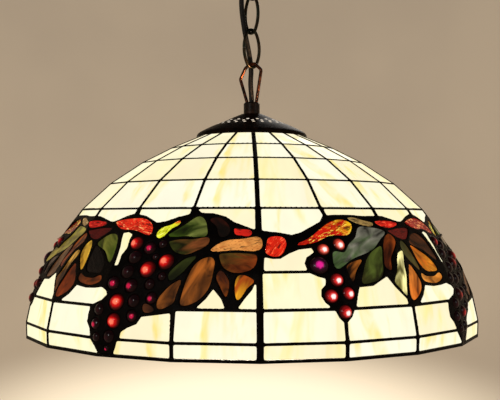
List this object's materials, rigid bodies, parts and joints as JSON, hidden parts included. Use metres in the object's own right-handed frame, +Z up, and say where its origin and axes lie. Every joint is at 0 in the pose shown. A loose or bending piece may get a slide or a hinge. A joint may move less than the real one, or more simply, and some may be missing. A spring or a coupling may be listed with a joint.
{
  "type": "pool table lamp",
  "caption": "Hanging leaded glass dome lamp with a grape and vine border, oval link chain with a cord through it, vented cap and ceiling canopy.",
  "frame": {"origin": "centre of the canopy's top face, where it meets the ceiling, midway between the crossbar's two screw slots", "axes": "+Z up; the shade's first seam faces -Y"},
  "size_m": [0.5136, 0.5136, 0.4908],
  "materials": {
    "cream_glass": "opalescent art glass, lit from behind",
    "green_glass": "streaky opalescent art glass",
    "olive_glass": "streaky opalescent art glass",
    "brown_glass": "streaky opalescent art glass",
    "amber_glass": "streaky opalescent art glass",
    "red_glass": "hammered cathedral glass",
    "yellow_glass": "streaky art glass",
    "red_jewel": "pressed glass jewel, polished",
    "dark_jewel": "pressed glass jewel, polished, nearly black plum",
    "lead": "solder with a black patina",
    "bronze": "dark antique bronze finish, rubbed to copper at its edges",
    "brass": "lacquered brass, slightly dulled",
    "steel": "zinc plated",
    "card": "fibre sleeve",
    "bright_metal": "pressed bulb base",
    "bulb_glass": "frosted inside, lit",
    "cord": "flexible jacket with a dull sheen"
  },
  "bodies": {
    "root": {"crossbar": "steel", "canopy_nipple": "steel", "crossbar_nut": "steel", "canopy": "bronze", "canopy_ring_nut": "bronze", "canopy_loop": "bronze", "cord_in_canopy": "cord"},
    "link_upper": {"link_upper": "bronze", "cord_at_upper_link": "cord"},
    "link_middle": {"link_middle": "bronze", "cord_at_middle_link": "cord"},
    "link_lower": {"link_lower": "bronze", "cord_at_lower_link": "cord"},
    "shade": {"row_1_glass": "cream_glass", "row_2_glass": "cream_glass", "row_3_glass": "cream_glass", "row_4_glass": "cream_glass", "background_glass": "cream_glass", "skirt_glass": "cream_glass", "rim_glass": "cream_glass", "leaf_glass_green": "green_glass", "leaf_glass_olive": "olive_glass", "leaf_glass_brown": "brown_glass", "leaf_glass_amber": "amber_glass", "twig_glass_red": "red_glass", "twig_glass_yellow": "yellow_glass", "grapes_red": "red_jewel", "grapes_dark": "dark_jewel", "lead_lattice": "lead", "rim_channel": "lead", "mouth_ring": "brass", "spider": "steel", "vented_cap": "bronze", "loop_collar": "bronze", "wire_bail": "bronze", "hanging_rod": "steel", "rod_nuts": "steel", "cluster_box": "brass", "cluster_lid": "brass", "finial": "brass", "socket_arms": "brass", "socket_shells": "brass", "socket_liners": "card", "socket_contacts": "brass", "bulb_bases": "bright_metal", "bulbs": "bulb_glass", "cord_in_bail": "cord"}
  },
  "joints": [
    {"name": "upper_link_swing", "type": "hinge", "parent": "root", "child": "link_upper", "pos_m": [0, 0, -0.06408], "axis": [0.6198, -0.7848, 0], "range_deg": [-20, 20], "deforming": ["cord_in_canopy", "cord_at_upper_link"]},
    {"name": "middle_link_swing", "type": "hinge", "parent": "link_upper", "child": "link_middle", "pos_m": [0, 0, -0.10436], "axis": [0.7848, 0.6198, 0], "range_deg": [-20, 20], "deforming": ["cord_at_upper_link", "cord_at_middle_link"]},
    {"name": "lower_link_swing", "type": "hinge", "parent": "link_middle", "child": "link_lower", "pos_m": [0, 0, -0.14464], "axis": [0.6198, -0.7848, 0], "range_deg": [-20, 20], "deforming": ["cord_at_middle_link", "cord_at_lower_link"]},
    {"name": "shade_swing", "type": "hinge", "parent": "link_lower", "child": "shade", "pos_m": [0, 0, -0.18492], "axis": [0.7848, 0.6198, 0], "range_deg": [-20, 20], "deforming": ["cord_at_lower_link", "cord_in_bail"]}
  ]
}
